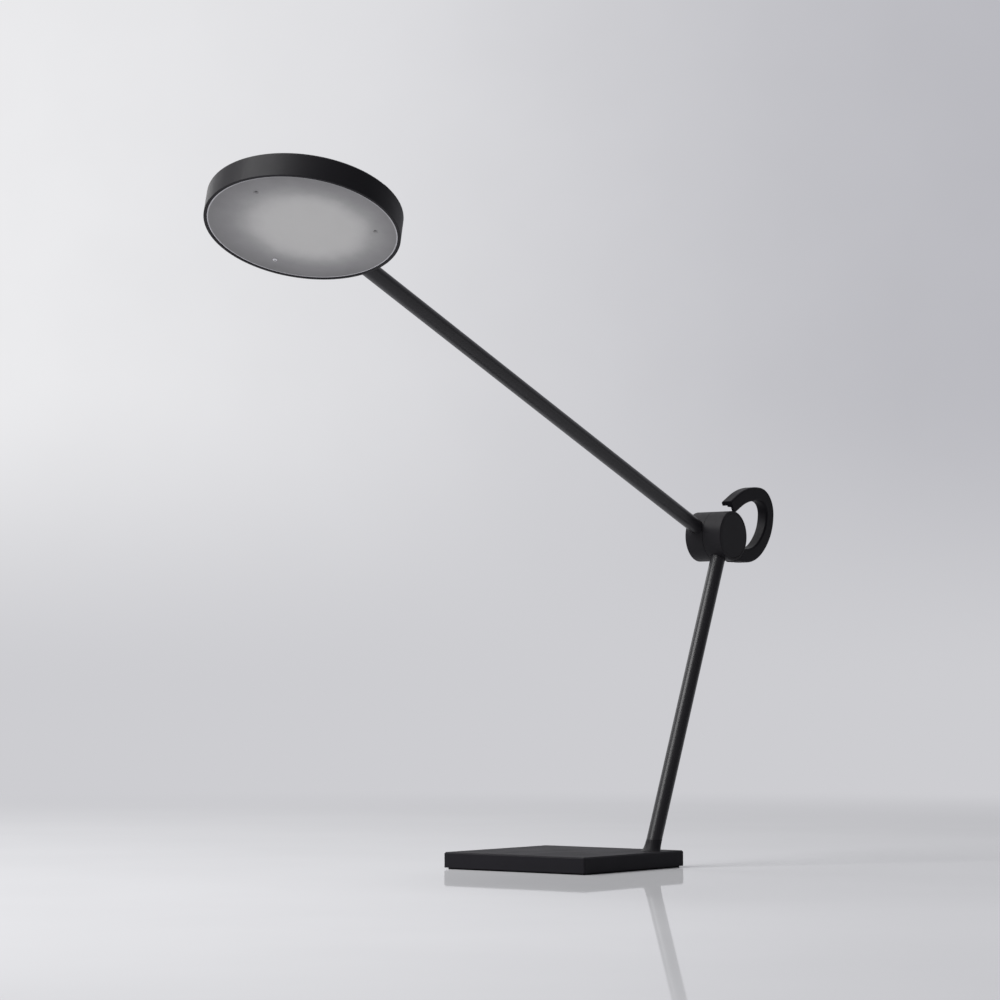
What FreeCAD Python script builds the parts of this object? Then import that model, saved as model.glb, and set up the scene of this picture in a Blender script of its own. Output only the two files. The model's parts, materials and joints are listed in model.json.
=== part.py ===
import FreeCAD, Part
import math
import os

# Desk lamp with a square base plate, a leaning tube post, a barrel elbow with a hoop behind it,
# a long tube arm and a flat disc head. Millimetres and degrees.
# Row frame: origin at the centre of the underside, +X towards the head, +Y along the elbow's
# axis, +Z up.

V = FreeCAD.Vector
X = V(1, 0, 0)
Y = V(0, 1, 0)
Z = V(0, 0, 1)
FAR = 500.0  # longer than any cut needs to be

# Fits
SEAT_GAP = 0.05  # radial, between parts that are pushed together and stay
RUNNING_GAP = 0.05  # radial, round shafts that turn
FACE_GAP = 0.2  # from the elbow's split plane to the face of each half

# Base plate and pad
BASE_WIDTH = 180.0
BASE_THICK = 16.0
BASE_CORNER_R = 2.4
BASE_EDGE = 1.4
PAD_THICK = 1.6
PAD_INSET = 3.0
FOOT_FROM_REAR = 35.5
FOOT_FROM_SIDE = 17.0

# Swivel foot
SWIVEL_WEB = 5.0  # plate left above the nut's recess
RECESS_DIA = 29.0
SPINDLE_DIA = 10.0
SPINDLE_TAIL = 0.4  # spindle below its nut
SWIVEL_BUSH_OD = 14.0
SWIVEL_FLANGE_DIA = 16.6
SWIVEL_FLANGE = 1.0
FLANGE_PROUD = 0.2
COLLAR_DIA = 20.2
COLLAR_HEIGHT = 12.0
COLLAR_SHIFT = 1.6  # collar's foot ahead of the post's axis
COLLAR_SWEEP = ((0.0, 1.0), (0.2, 0.5), (0.5, 0.15), (1.0, 0.0))  # share of height, share of flare
COLLAR_LIP = 0.15  # collar beyond the tube at their joint
SPIGOT_GRIP = 22.0  # plug inside the post tube
SWIVEL_WASHER_DIA = 21.0
SWIVEL_WASHER = 1.5
SWIVEL_NUT_AF = 16.0
SWIVEL_NUT = 5.0
STOP_TAB_WIDTH = 4.0
STOP_TAB_CLEAR = 0.9  # end of the tab to the recess wall
SWIVEL_PIN_DIA = 3.0
SWIVEL_PIN_DROP = 3.0
SWIVEL_PIN_SEAT = 3.0

# Power socket in the rear edge
SOCKET_DIA = 9.0
SOCKET_LENGTH = 12.0
SOCKET_UP = 6.2  # axis above the plate's underside
SOCKET_BORE = 6.5
SOCKET_DEPTH = 10.0
SOCKET_PIN_DIA = 2.0
SOCKET_PIN_BACK = 4.6  # pin's tip behind the mouth
SOCKET_PIN_ROOT = 1.5

# Leads
LEAD_DIA = 3.4
LEAD_CLEAR = 0.1
LEAD_GROOVE_CLEAR = 0.5
LEAD_BORE = 5.0
BASE_LEAD_TAIL = 2.0  # lead inside the nut's recess

# Tubes
TUBE_OD = 16.0
TUBE_WALL = 1.5
POST_LEAN = 22.62  # from the vertical, backwards
POST_LENGTH = 363.5  # plate top to elbow axis
ARM_RISE = 21.4  # above the horizontal, forwards
ARM_LENGTH = 727.0  # elbow axis to head centre
TUBE_OFFSET = 9.1  # tube axes from the elbow's split plane

# Elbow
ELBOW_DIA = 54.0
POST_HALF = 23.0
ARM_HALF = 22.6
ELBOW_EDGE = 1.4  # radius of the outer edges
ELBOW_WALL = 4.2  # wall beside the split plane
POCKET_DIA = 23.0
CAP_DIA = 48.0
CAP_THICK = 2.0
CAP_EDGE = 0.4
SOCKET_STOP = 13.5  # tube ends from the elbow axis
LEAD_HOLE = 8.0
GRUB_DIA = 4.0
GRUB_AT = 19.5
BOLT_DIA = 8.0
BOLT_HEAD_DIA = 13.0
BOLT_HEAD = 5.0
BOLT_HEX_AF = 6.0
BOLT_HEX_DEPTH = 3.0
ELBOW_BUSH_OD = 11.0
DISC_DIA = 24.6
DISC_BORE = 11.8
DISC_RECESS = 1.2
SPRING_WASHER_DIA = 15.2
SPRING_WASHER_THICK = 0.6
SPRING_WASHER_DISH = 0.5
SPRING_WASHERS = 2
ELBOW_NUT_AF = 13.0
ELBOW_NUT = 5.0
ELBOW_STOP_RADIUS = 20.0
ELBOW_PIN_DIA = 3.0
ELBOW_PIN_OUT = 2.2
ELBOW_PIN_SEAT = 4.0
STOP_CLEAR = 0.3
ARM_HIGHEST = 75.0  # arm above the horizontal at the upper stop
ARM_LOWEST = -20.0

# Balance spring, a flat spiral round the bolt's tail
RIBBON_THICK = 0.8
RIBBON_WIDTH = 6.0
RIBBON_PITCH = 1.6
RIBBON_HALF_TURNS = 7
RIBBON_START_R = 5.2
RIBBON_FROM_NUT = 0.8
RIBBON_SLOT_CLEAR = 0.1
BOLT_TAIL = 0.6  # bolt beyond the ribbon

# Hoop behind the elbow
HOOP_WIDTH = 13.0
HOOP_THICK = 15.0
HOOP_EDGE = 2.0
HOOP_INSET = 0.5  # hoop's near face behind the end of the elbow
HOOP_ROOT_BACK = 5.0  # front of the root behind the elbow axis
HOOP_BEND_BACK = 27.5  # start of the first bend behind the elbow axis
HOOP_BELOW = 1.0  # root below the elbow's barrel
HOOP_FOOT_R = 45.5
HOOP_LOWER_R = 59.5
HOOP_BACK_R = 44.5
HOOP_UPPER_R = 20.3
HOOP_TOP_R = 79.5
HOOP_TURNS = (35.8, 21.3, 32.0, 86.8, 33.0)  # turn of each of these bends in degrees
HOOP_END = 15.2  # straight end after the last bend
HOOP_SKIN = 5.1  # skin left over the fork at its tip
HOOP_FORK_WIDTH = 6.0
HOOP_FORK_LENGTH = 15.5
HOOP_FORK_SLOPE = 17.7  # fall of the fork's ceiling towards the tip, in degrees
HOOP_NOTCH_DIA = 4.2  # round inner corner of the notch
HOOP_NOTCH_TOP = 4.7  # top of the notch above the barrel
HOOP_NOTCH_BACK = 8.4  # end of the notch behind the elbow axis
HOOP_NOTCH_WALL = 3.0  # wall left beside the notch
TONGUE_BACK = 14.0  # end of the root's tongue behind the elbow axis
TONGUE_SHOULDER = 1.0
TONGUE_UNDER_CAP = 1.0
TONGUE_GAP = 0.1
HOOP_SCREW_DIA = 3.0
HOOP_SCREW_HEAD = 5.6
HOOP_SCREW_LENGTH = 18.0
HOOP_SCREW_BACK = 18.5
HOOP_SCREW_PITCH = 5.6

# Twist joint between arm and head
JOURNAL_DIA = 10.0
JOURNAL_BORE = 4.4
ARM_PLUG = 18.0
TWIST_GAP = 0.3
HEAD_FLAT = 0.35  # flat cut into the rim for the arm
BOSS_DEPTH = 13.0
BOSS_WIDTH = 18.0
TWIST_BUSH_OD = 13.0
TWIST_PIN_DIA = 2.0
TWIST_PIN_CLEAR = 0.3
TWIST_PIN_ROOT = 0.1
TWIST_WASHER_DIA = 13.6
TWIST_WASHER = 1.0
TWIST_NUT_AF = 11.4
TWIST_NUT = 4.0
JOURNAL_TAIL = 0.6
TWIST_TRAVEL = 90.0  # each way from level
HEAD_TWIST = 8.6  # pose shown, light turned towards +Y

# Head
HEAD_DIA = 182.4
HEAD_HEIGHT = 24.0
HEAD_TOP = 2.0
HEAD_WALL = 2.2
HEAD_TOP_ROUND = 1.5
HEAD_RIM_ROUND = 0.5
DIFFUSER_DIA = 176.4
DIFFUSER_THICK = 2.5
DIFFUSER_BACK = 0.75  # face behind the rim's edge
DIFFUSER_GAP = 0.12
LEDGE_WIDTH = 2.9
LEDGE_THICK = 2.0
SCREW_RING_R = 68.0
SCREW_COUNT = 3
POST_DIA = 6.4
LENS_SCREW_DIA = 2.5
LENS_SCREW_HEAD = 4.8
LENS_SCREW_SINK = 1.2
LENS_SCREW_LENGTH = 10.0
SCREW_HOLE_SPARE = 0.5  # hole deeper than its screw

# Light engine
SPREADER_DIA = 116.0
SPREADER_THICK = 3.0
LED_BOARD_DIA = 108.0
BOARD_THICK = 1.6
LED_WIDTH = 3.0
LED_HEIGHT = 0.8
LED_RINGS = ((44.0, 16), (25.0, 8))  # ring radius, number of chips
BOARD_SCREW_DIA = 3.0
BOARD_SCREW_HEAD = 5.5
BOARD_SCREW_HEAD_HIGH = 1.8
BOARD_SCREW_RING_R = 50.0
BOARD_SCREW_IN = 2.4
REFLECTOR_BORE = 112.0
REFLECTOR_THICK = 0.7
REFLECTOR_GAP = 0.1
REFLECTOR_POST_GAP = 0.3

# Switch and driver board, under the top plate beside the arm
BUTTON_RING_R = 71.0
BUTTON_ANGLE = 150.0
BUTTON_DIA = 12.0
BUTTON_PROUD = 1.6
BUTTON_EDGE = 0.5
BUTTON_TRAVEL = 1.2
BUTTON_GAP = 0.15
BUTTON_FLANGE_DIA = 14.4
BUTTON_FLANGE = 1.0
BUTTON_FLANGE_GAP = 0.1
STEM_DIA = 4.0
STEM_GAP = 0.3
STEM_LENGTH = 3.3
SWITCH_WIDTH = 12.0
SWITCH_HIGH = 6.0
DRIVER_LENGTH = 30.0
DRIVER_WIDTH = 18.0
DRIVER_THICK = 1.2
DRIVER_POST_DIA = 5.0
DRIVER_POST_PITCH = 23.0
DRIVER_SCREW_DIA = 2.0
DRIVER_SCREW_HEAD = 4.4
DRIVER_SCREW_HEAD_HIGH = 1.3
DRIVER_SCREW_LENGTH = 6.0
COIL_DIA = 8.0
COIL_HIGH = 5.0
CAPACITOR_DIA = 5.0
CAPACITOR_HIGH = 5.5
TERMINAL_SIZE = (5.0, 7.0, 4.5)
PART_ROW = 5.5  # spacing of the parts across the board

# Worked out from the sizes above
BASE_TOP = PAD_THICK + BASE_THICK
FOOT = V(-BASE_WIDTH / 2 + FOOT_FROM_REAR, BASE_WIDTH / 2 - FOOT_FROM_SIDE, BASE_TOP)
LEAN = math.radians(POST_LEAN)
RISE = math.radians(ARM_RISE)
POST_UP = V(-math.sin(LEAN), 0, math.cos(LEAN))
ELBOW = FOOT + POST_UP * POST_LENGTH - Y * TUBE_OFFSET
TUBE_R = TUBE_OD / 2
BORE_R = TUBE_R - TUBE_WALL
ELBOW_R = ELBOW_DIA / 2
BOLT_R = BOLT_DIA / 2
HEAD_R = HEAD_DIA / 2
HEAD_HALF = HEAD_HEIGHT / 2
CEILING = HEAD_HALF - HEAD_TOP  # inside face of the top plate
LENS_FACE = -HEAD_HALF + DIFFUSER_BACK
LENS_BACK = LENS_FACE + DIFFUSER_THICK
BOSS_END = HEAD_R - BOSS_DEPTH
SPREADER_FACE = CEILING - SPREADER_THICK
LED_BOARD_FACE = SPREADER_FACE - BOARD_THICK
FLANGE_FACE = LENS_BACK + REFLECTOR_GAP
BUTTON_FLANGE_FACE = CEILING - BUTTON_FLANGE_GAP - BUTTON_FLANGE
SWITCH_TOP = BUTTON_FLANGE_FACE - BUTTON_TRAVEL - STEM_GAP
DRIVER_TOP = SWITCH_TOP - SWITCH_HIGH
DRIVER_FACE = DRIVER_TOP - DRIVER_THICK
SPRING_STACK = SPRING_WASHERS * (SPRING_WASHER_THICK + SPRING_WASHER_DISH)
NUT_FACE = ELBOW_WALL + SPRING_STACK
RIBBON_FACE = NUT_FACE + ELBOW_NUT + RIBBON_FROM_NUT
BOLT_END = RIBBON_FACE + RIBBON_WIDTH + BOLT_TAIL


def moved(shape, offset):
    """A copy of the shape, carried by an offset."""
    copy = shape.copy()
    copy.translate(offset)
    return copy


def placed(shape, origin, x_axis, z_axis):
    """A copy of the shape, carried from the main axes to the given ones."""
    y_axis = z_axis.cross(x_axis)
    matrix = FreeCAD.Matrix(
        x_axis.x, y_axis.x, z_axis.x, origin.x,
        x_axis.y, y_axis.y, z_axis.y, origin.y,
        x_axis.z, y_axis.z, z_axis.z, origin.z,
        0, 0, 0, 1,
    )
    copy = shape.copy()
    copy.Placement = FreeCAD.Placement(matrix).multiply(shape.Placement)
    return copy


def at_foot(shape):
    """From the swivel's own frame, with z = 0 on top of the plate."""
    return moved(shape, FOOT)


def at_elbow(shape):
    """From the elbow's own frame: origin on its axis in the split plane."""
    return moved(shape, ELBOW)


def on_arm(shape):
    """From the arm's frame: origin as the elbow's, x along the arm, y across it."""
    along = V(math.cos(RISE), 0, math.sin(RISE))
    above = V(-math.sin(RISE), 0, math.cos(RISE))
    return placed(shape, ELBOW, along, above)


def on_head(shape):
    """From the head's frame: origin at its centre, x along the arm, z out of its top."""
    twist = math.radians(HEAD_TWIST)
    top = V(0, -math.sin(twist), math.cos(twist))
    return on_arm(placed(shape, V(ARM_LENGTH, -TUBE_OFFSET, 0), X, top))


def cylinder(diameter, start, axis, length):
    return Part.makeCylinder(diameter / 2, length, start, axis)


def ring(outer, inner, start, axis, length):
    return cylinder(outer, start, axis, length).cut(cylinder(inner, start, axis, length))


def block(low, high):
    """A box from its lowest to its highest corner."""
    size = high - low
    return Part.makeBox(size.x, size.y, size.z, low)


def hexagon(across_flats, start, axis, length):
    """A six-sided prism along X, Y or Z."""
    first = Z if axis.x or axis.y else X
    second = axis.cross(first)
    corner_r = across_flats / 2 / math.cos(math.radians(30))
    corners = []
    for step in range(7):
        angle = math.radians(60 * step)
        corners.append(start + (first * math.cos(angle) + second * math.sin(angle)) * corner_r)
    return Part.Face(Part.makePolygon(corners)).extrude(axis * length)


def wedge(start_angle, end_angle, start, axis, first, length):
    """A fan-shaped prism that opens from first, by the right-hand rule about axis."""
    second = axis.cross(first)
    steps = 6
    corners = [start]
    for step in range(steps + 1):
        angle = math.radians(start_angle + (end_angle - start_angle) * step / steps)
        corners.append(start + (first * math.cos(angle) + second * math.sin(angle)) * FAR)
    corners.append(start)
    return Part.Face(Part.makePolygon(corners)).extrude(axis * length)


def edges_at(shape, axis, level, smallest=0.0):
    """Edges that lie in one plane square to an axis, from a given size upwards."""
    found = []
    for edge in shape.Edges:
        box = edge.BoundBox
        low = V(box.XMin, box.YMin, box.ZMin).dot(axis)
        high = V(box.XMax, box.YMax, box.ZMax).dot(axis)
        if abs(low - level) < 0.01 and abs(high - level) < 0.01 and box.DiagonalLength >= smallest:
            found.append(edge)
    return found


def upright_edges(shape):
    """Edges parallel to Z."""
    return [edge for edge in shape.Edges if edge.BoundBox.XLength + edge.BoundBox.YLength < 0.01]


def ring_points(radius, count, height, first_angle=0.0):
    """Points spread evenly on a circle about Z."""
    points = []
    for index in range(count):
        angle = math.radians(first_angle + 360 * index / count)
        points.append(V(radius * math.cos(angle), radius * math.sin(angle), height))
    return points


# Base


def socket_axis():
    return V(-BASE_WIDTH / 2, FOOT.y, PAD_THICK + SOCKET_UP)


def base_plate():
    half = BASE_WIDTH / 2
    plate = block(V(-half, -half, PAD_THICK), V(half, half, BASE_TOP))
    plate = plate.makeFillet(BASE_CORNER_R, upright_edges(plate))
    plate = plate.makeChamfer(BASE_EDGE, edges_at(plate, Z, BASE_TOP))
    ceiling = BASE_TOP - SWIVEL_WEB
    foot_below = V(FOOT.x, FOOT.y, PAD_THICK)
    flange_seat = FOOT + Z * (FLANGE_PROUD - SWIVEL_FLANGE)
    plate = plate.cut(cylinder(RECESS_DIA, foot_below, Z, ceiling - PAD_THICK))
    plate = plate.cut(cylinder(SWIVEL_BUSH_OD + 2 * SEAT_GAP, foot_below, Z, FAR))
    plate = plate.cut(cylinder(SWIVEL_FLANGE_DIA + 2 * SEAT_GAP, flange_seat, Z, FAR))
    pin_foot = V(FOOT.x + swivel_pin_radius(), FOOT.y, ceiling)
    plate = plate.cut(cylinder(SWIVEL_PIN_DIA + 2 * SEAT_GAP, pin_foot, Z, SWIVEL_PIN_SEAT))
    plate = plate.cut(cylinder(SOCKET_DIA + 2 * SEAT_GAP, socket_axis(), X, SOCKET_LENGTH))
    half_groove = LEAD_DIA / 2 + LEAD_GROOVE_CLEAR
    low = V(-half + SOCKET_LENGTH - LEAD_GROOVE_CLEAR, FOOT.y - half_groove, PAD_THICK)
    high = V(FOOT.x, FOOT.y + half_groove, socket_axis().z + half_groove)
    return plate.cut(block(low, high))


def base_pad():
    half = BASE_WIDTH / 2 - PAD_INSET
    pad = block(V(-half, -half, 0), V(half, half, PAD_THICK))
    return pad.makeFillet(BASE_CORNER_R, upright_edges(pad))


def power_socket():
    mouth = socket_axis()
    body = cylinder(SOCKET_DIA, mouth, X, SOCKET_LENGTH)
    body = body.cut(cylinder(SOCKET_BORE, mouth, X, SOCKET_DEPTH))
    return body.cut(cylinder(SOCKET_PIN_DIA + 2 * SEAT_GAP, mouth, X, SOCKET_DEPTH + SOCKET_PIN_ROOT))


def socket_pin():
    length = SOCKET_DEPTH + SOCKET_PIN_ROOT - SOCKET_PIN_BACK
    return cylinder(SOCKET_PIN_DIA, socket_axis() + X * SOCKET_PIN_BACK, X, length)


def base_lead():
    start = socket_axis() + X * SOCKET_LENGTH
    end_x = FOOT.x - RECESS_DIA / 2 + BASE_LEAD_TAIL
    return cylinder(LEAD_DIA, start, X, end_x - start.x)


# Swivel foot, drawn with z = 0 on top of the plate


def swivel_pin_radius():
    return RECESS_DIA / 2 - SWIVEL_PIN_DIA / 2 - SEAT_GAP - FACE_GAP


def collar_top():
    return FLANGE_PROUD + COLLAR_HEIGHT


def axis_at(height):
    """Point of the post's axis at a height above the plate."""
    return POST_UP * (height / math.cos(LEAN))


def above(shape, height):
    """What lies above a level."""
    return shape.cut(block(V(-FAR, -FAR, height - FAR), V(FAR, FAR, height)))


def swivel_bush():
    height = SWIVEL_WEB + FLANGE_PROUD
    bush = cylinder(SWIVEL_BUSH_OD, Z * -SWIVEL_WEB, Z, height)
    flange = cylinder(SWIVEL_FLANGE_DIA, Z * (FLANGE_PROUD - SWIVEL_FLANGE), Z, SWIVEL_FLANGE)
    bush = bush.fuse(flange).removeSplitter()
    return at_foot(bush.cut(cylinder(SPINDLE_DIA + 2 * RUNNING_GAP, Z * -SWIVEL_WEB, Z, height)))


def swivel_stop_pin():
    start = V(swivel_pin_radius(), 0, -SWIVEL_WEB - SWIVEL_PIN_DROP)
    return at_foot(cylinder(SWIVEL_PIN_DIA, start, Z, SWIVEL_PIN_DROP + SWIVEL_PIN_SEAT))


def collar():
    """Skirt that is round on the plate and runs up into the leaning tube."""
    short = TUBE_R + COLLAR_LIP
    long = short / math.cos(LEAN)
    rings = []
    for height, flare in COLLAR_SWEEP:
        centre = axis_at(FLANGE_PROUD + height * COLLAR_HEIGHT) + X * (COLLAR_SHIFT * flare)
        major = long + (COLLAR_DIA / 2 - long) * flare
        minor = short + (COLLAR_DIA / 2 - short) * flare
        rings.append(Part.Wire(Part.Ellipse(centre, major, minor).toShape()))
    return Part.makeLoft(rings, True)


def lead_way(depth, reach):
    """Bent bore: up the spindle, round the bend on a ball and on along the post."""
    bend = Z * FLANGE_PROUD
    way = cylinder(LEAD_BORE, Z * -depth, Z, depth + FLANGE_PROUD)
    ball = Part.makeSphere(LEAD_BORE / 2, bend)
    return way.fuse([ball, cylinder(LEAD_BORE, bend, POST_UP, reach)])


def swivel_foot():
    depth = SWIVEL_WEB + SWIVEL_WASHER + SWIVEL_NUT + SPINDLE_TAIL
    spindle = cylinder(SPINDLE_DIA, Z * -depth, Z, depth + FLANGE_PROUD)
    grip = collar_top() / math.cos(LEAN) + SPIGOT_GRIP
    plug = cylinder(2 * (BORE_R - SEAT_GAP), V(0, 0, 0), POST_UP, grip)
    foot = collar().fuse([spindle, above(plug, collar_top())]).removeSplitter()
    return at_foot(foot.cut(lead_way(depth, grip)))


def swivel_washer():
    level = Z * -(SWIVEL_WEB + SWIVEL_WASHER)
    washer = cylinder(SWIVEL_WASHER_DIA, level, Z, SWIVEL_WASHER)
    reach = RECESS_DIA / 2 - STOP_TAB_CLEAR
    tab = block(V(-reach, -STOP_TAB_WIDTH / 2, level.z), V(0, STOP_TAB_WIDTH / 2, -SWIVEL_WEB))
    washer = washer.fuse(tab).removeSplitter()
    return at_foot(washer.cut(cylinder(SPINDLE_DIA + 2 * SEAT_GAP, level, Z, SWIVEL_WASHER)))


def swivel_nut():
    level = Z * -(SWIVEL_WEB + SWIVEL_WASHER + SWIVEL_NUT)
    nut = hexagon(SWIVEL_NUT_AF, level, Z, SWIVEL_NUT)
    return at_foot(nut.cut(cylinder(SPINDLE_DIA + 2 * SEAT_GAP, level, Z, SWIVEL_NUT)))


# Post


def post_tube():
    length = POST_LENGTH - SOCKET_STOP
    outer = cylinder(TUBE_OD, V(0, 0, 0), POST_UP, length)
    tube = outer.cut(cylinder(2 * BORE_R, V(0, 0, 0), POST_UP, length))
    return at_foot(above(tube, collar_top()))


def post_lead():
    """Lead that lies on the lower side of the leaning bore."""
    down = V(-math.cos(LEAN), 0, -math.sin(LEAN))
    start = collar_top() / math.cos(LEAN) + SPIGOT_GRIP + LEAD_CLEAR
    length = POST_LENGTH - SOCKET_STOP - start
    origin = POST_UP * start + down * (BORE_R - LEAD_DIA / 2 - LEAD_CLEAR)
    return at_foot(cylinder(LEAD_DIA, origin, POST_UP, length))


# Elbow. Both halves are drawn from the split plane outwards, to the side that sign gives.


def elbow_half(sign, length, tube_dir, wall_bore):
    """Turned half with its tube socket, inner pocket, cap recess and bore through the wall."""
    out = Y * sign
    half = cylinder(ELBOW_DIA, out * FACE_GAP, out, length - FACE_GAP)
    half = half.makeFillet(ELBOW_EDGE, edges_at(half, Y, sign * length))
    half = half.cut(cylinder(POCKET_DIA, out * ELBOW_WALL, out, FAR))
    half = half.cut(cylinder(CAP_DIA + 2 * SEAT_GAP, out * (length - CAP_THICK), out, FAR))
    half = half.cut(cylinder(wall_bore, V(0, 0, 0), out, FAR))
    middle = out * TUBE_OFFSET
    socket = cylinder(TUBE_OD + 2 * SEAT_GAP, middle + tube_dir * SOCKET_STOP, tube_dir, ELBOW_DIA)
    half = half.cut(socket)
    half = half.cut(cylinder(LEAD_HOLE, middle, tube_dir, ELBOW_R))
    grub = cylinder(GRUB_DIA + 2 * SEAT_GAP, middle + tube_dir * GRUB_AT, out, FAR)
    return half.cut(grub)


def elbow_cap(sign, length):
    out = Y * sign
    cap = cylinder(CAP_DIA, out * (length - CAP_THICK), out, CAP_THICK)
    return cap.makeChamfer(CAP_EDGE, edges_at(cap, Y, sign * length))


def grub_screw(sign, length, tube_dir):
    """Short screw under the cap that holds a tube."""
    out = Y * sign
    start = TUBE_OFFSET + TUBE_R + SEAT_GAP
    screw = cylinder(GRUB_DIA, out * start + tube_dir * GRUB_AT, out, length - CAP_THICK - start)
    return screw


def hoop_screw_points():
    """Foot of each hoop screw, on the underside of the hoop's root."""
    middle = (tongue_near() + tongue_far()) / 2
    low = -ELBOW_R - HOOP_BELOW
    points = []
    for side in (-1, 1):
        points.append(V(-HOOP_SCREW_BACK, middle + side * HOOP_SCREW_PITCH / 2, low))
    return points


def tongue_near():
    return POST_HALF - CAP_THICK - TONGUE_UNDER_CAP


def hoop_far():
    """Face of the hoop nearest to the split plane."""
    return POST_HALF - HOOP_INSET - HOOP_WIDTH


def tongue_far():
    return hoop_far() + TONGUE_SHOULDER


def tongue(gap):
    """Root of the hoop that is let into the post half; gap widens it for the slot."""
    low = V(-ELBOW_R - HOOP_EDGE, tongue_far() - gap, -ELBOW_R - HOOP_BELOW)
    high = V(-TONGUE_BACK + gap, tongue_near() + gap, low.z + HOOP_THICK + gap)
    return block(low, high)


def elbow_post_half():
    half = elbow_half(1, POST_HALF, POST_UP * -1, BOLT_DIA + 2 * SEAT_GAP)
    half = half.cut(tongue(TONGUE_GAP))
    pin_seat = V(-ELBOW_STOP_RADIUS, 0, 0)
    half = half.cut(cylinder(ELBOW_PIN_DIA + 2 * SEAT_GAP, pin_seat, Y, FACE_GAP + ELBOW_PIN_SEAT))
    for point in hoop_screw_points():
        half = half.cut(cylinder(HOOP_SCREW_DIA + 2 * SEAT_GAP, point, Z, HOOP_SCREW_LENGTH))
    return at_elbow(half)


def elbow_arm_half():
    half = elbow_half(-1, ARM_HALF, X, ELBOW_BUSH_OD + 2 * SEAT_GAP)
    recess = DISC_RECESS + FACE_GAP
    half = half.cut(cylinder(DISC_DIA + 2 * SEAT_GAP, V(0, 0, 0), Y * -1, recess))
    return on_arm(half.cut(stop_groove()))


def stop_groove():
    """Arc in the arm half's split face that the stop pin runs in, between its two ends."""
    depth = FACE_GAP + ELBOW_PIN_OUT + STOP_CLEAR
    wide = ELBOW_PIN_DIA + 2 * STOP_CLEAR
    outer = 2 * ELBOW_STOP_RADIUS + wide
    inner = 2 * ELBOW_STOP_RADIUS - wide
    groove = ring(outer, inner, V(0, 0, 0), Y * -1, depth)
    spare = math.degrees(math.asin(wide / 2 / ELBOW_STOP_RADIUS))
    start = 180 - ARM_HIGHEST - spare
    end = 180 - ARM_LOWEST + spare
    return groove.common(wedge(start, end, V(0, 0, 0), Y * -1, X, depth))


def elbow_stop_pin():
    start = V(-ELBOW_STOP_RADIUS, -ELBOW_PIN_OUT, 0)
    return at_elbow(cylinder(ELBOW_PIN_DIA, start, Y, ELBOW_PIN_OUT + FACE_GAP + ELBOW_PIN_SEAT))


def friction_disc():
    start = Y * FACE_GAP
    return on_arm(ring(DISC_DIA, DISC_BORE, start, Y * -1, 2 * FACE_GAP + DISC_RECESS))


def elbow_bush():
    start = Y * -(FACE_GAP + DISC_RECESS)
    length = ELBOW_WALL - FACE_GAP - DISC_RECESS
    return on_arm(ring(ELBOW_BUSH_OD, BOLT_DIA + 2 * RUNNING_GAP, start, Y * -1, length))


def elbow_bolt():
    """Bolt with its head in the post half and a slot across its tail for the spring."""
    bolt = cylinder(BOLT_DIA, Y * -BOLT_END, Y, BOLT_END + ELBOW_WALL)
    head = cylinder(BOLT_HEAD_DIA, Y * ELBOW_WALL, Y, BOLT_HEAD)
    bolt = bolt.fuse(head).removeSplitter()
    key = hexagon(BOLT_HEX_AF, Y * (ELBOW_WALL + BOLT_HEAD - BOLT_HEX_DEPTH), Y, BOLT_HEX_DEPTH)
    low = V(-BOLT_DIA, -BOLT_END, -RIBBON_THICK - RIBBON_SLOT_CLEAR)
    high = V(BOLT_DIA, -RIBBON_FACE + RIBBON_SLOT_CLEAR, RIBBON_SLOT_CLEAR)
    return at_elbow(bolt.cut(key).cut(block(low, high)))


def disc_springs():
    """Dished washers in pairs, outer edges apart, between the arm half and the nut."""
    inner = BOLT_R + SEAT_GAP
    outer = SPRING_WASHER_DIA / 2
    high = SPRING_WASHER_THICK + SPRING_WASHER_DISH
    washers = []
    for index in range(SPRING_WASHERS):
        base = -ELBOW_WALL - index * high
        rim = 0 if index % 2 == 0 else SPRING_WASHER_DISH
        eye = SPRING_WASHER_DISH - rim
        corners = [
            V(inner, base - eye, 0),
            V(outer, base - rim, 0),
            V(outer, base - rim - SPRING_WASHER_THICK, 0),
            V(inner, base - eye - SPRING_WASHER_THICK, 0),
            V(inner, base - eye, 0),
        ]
        washers.append(Part.Face(Part.makePolygon(corners)).revolve(V(0, 0, 0), Y, 360))
    return at_elbow(Part.makeCompound(washers))


def elbow_nut():
    start = Y * -NUT_FACE
    nut = hexagon(ELBOW_NUT_AF, start, Y * -1, ELBOW_NUT)
    return at_elbow(nut.cut(cylinder(BOLT_DIA + 2 * SEAT_GAP, start, Y * -1, ELBOW_NUT)))


def spiral_side(radius_shift):
    """Half circles of a spiral, whose centres take turns between two points."""
    step = RIBBON_PITCH / 2
    arcs = []
    for index in range(RIBBON_HALF_TURNS):
        centre = step * (index % 2)
        side = 1 if index % 2 == 0 else -1
        radius = RIBBON_START_R + index * step + radius_shift
        start = V(centre + side * radius, 0, 0)
        middle = V(centre, 0, side * radius)
        end = V(centre - side * radius, 0, 0)
        arcs.append(Part.Arc(start, middle, end).toShape())
    return arcs


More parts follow.
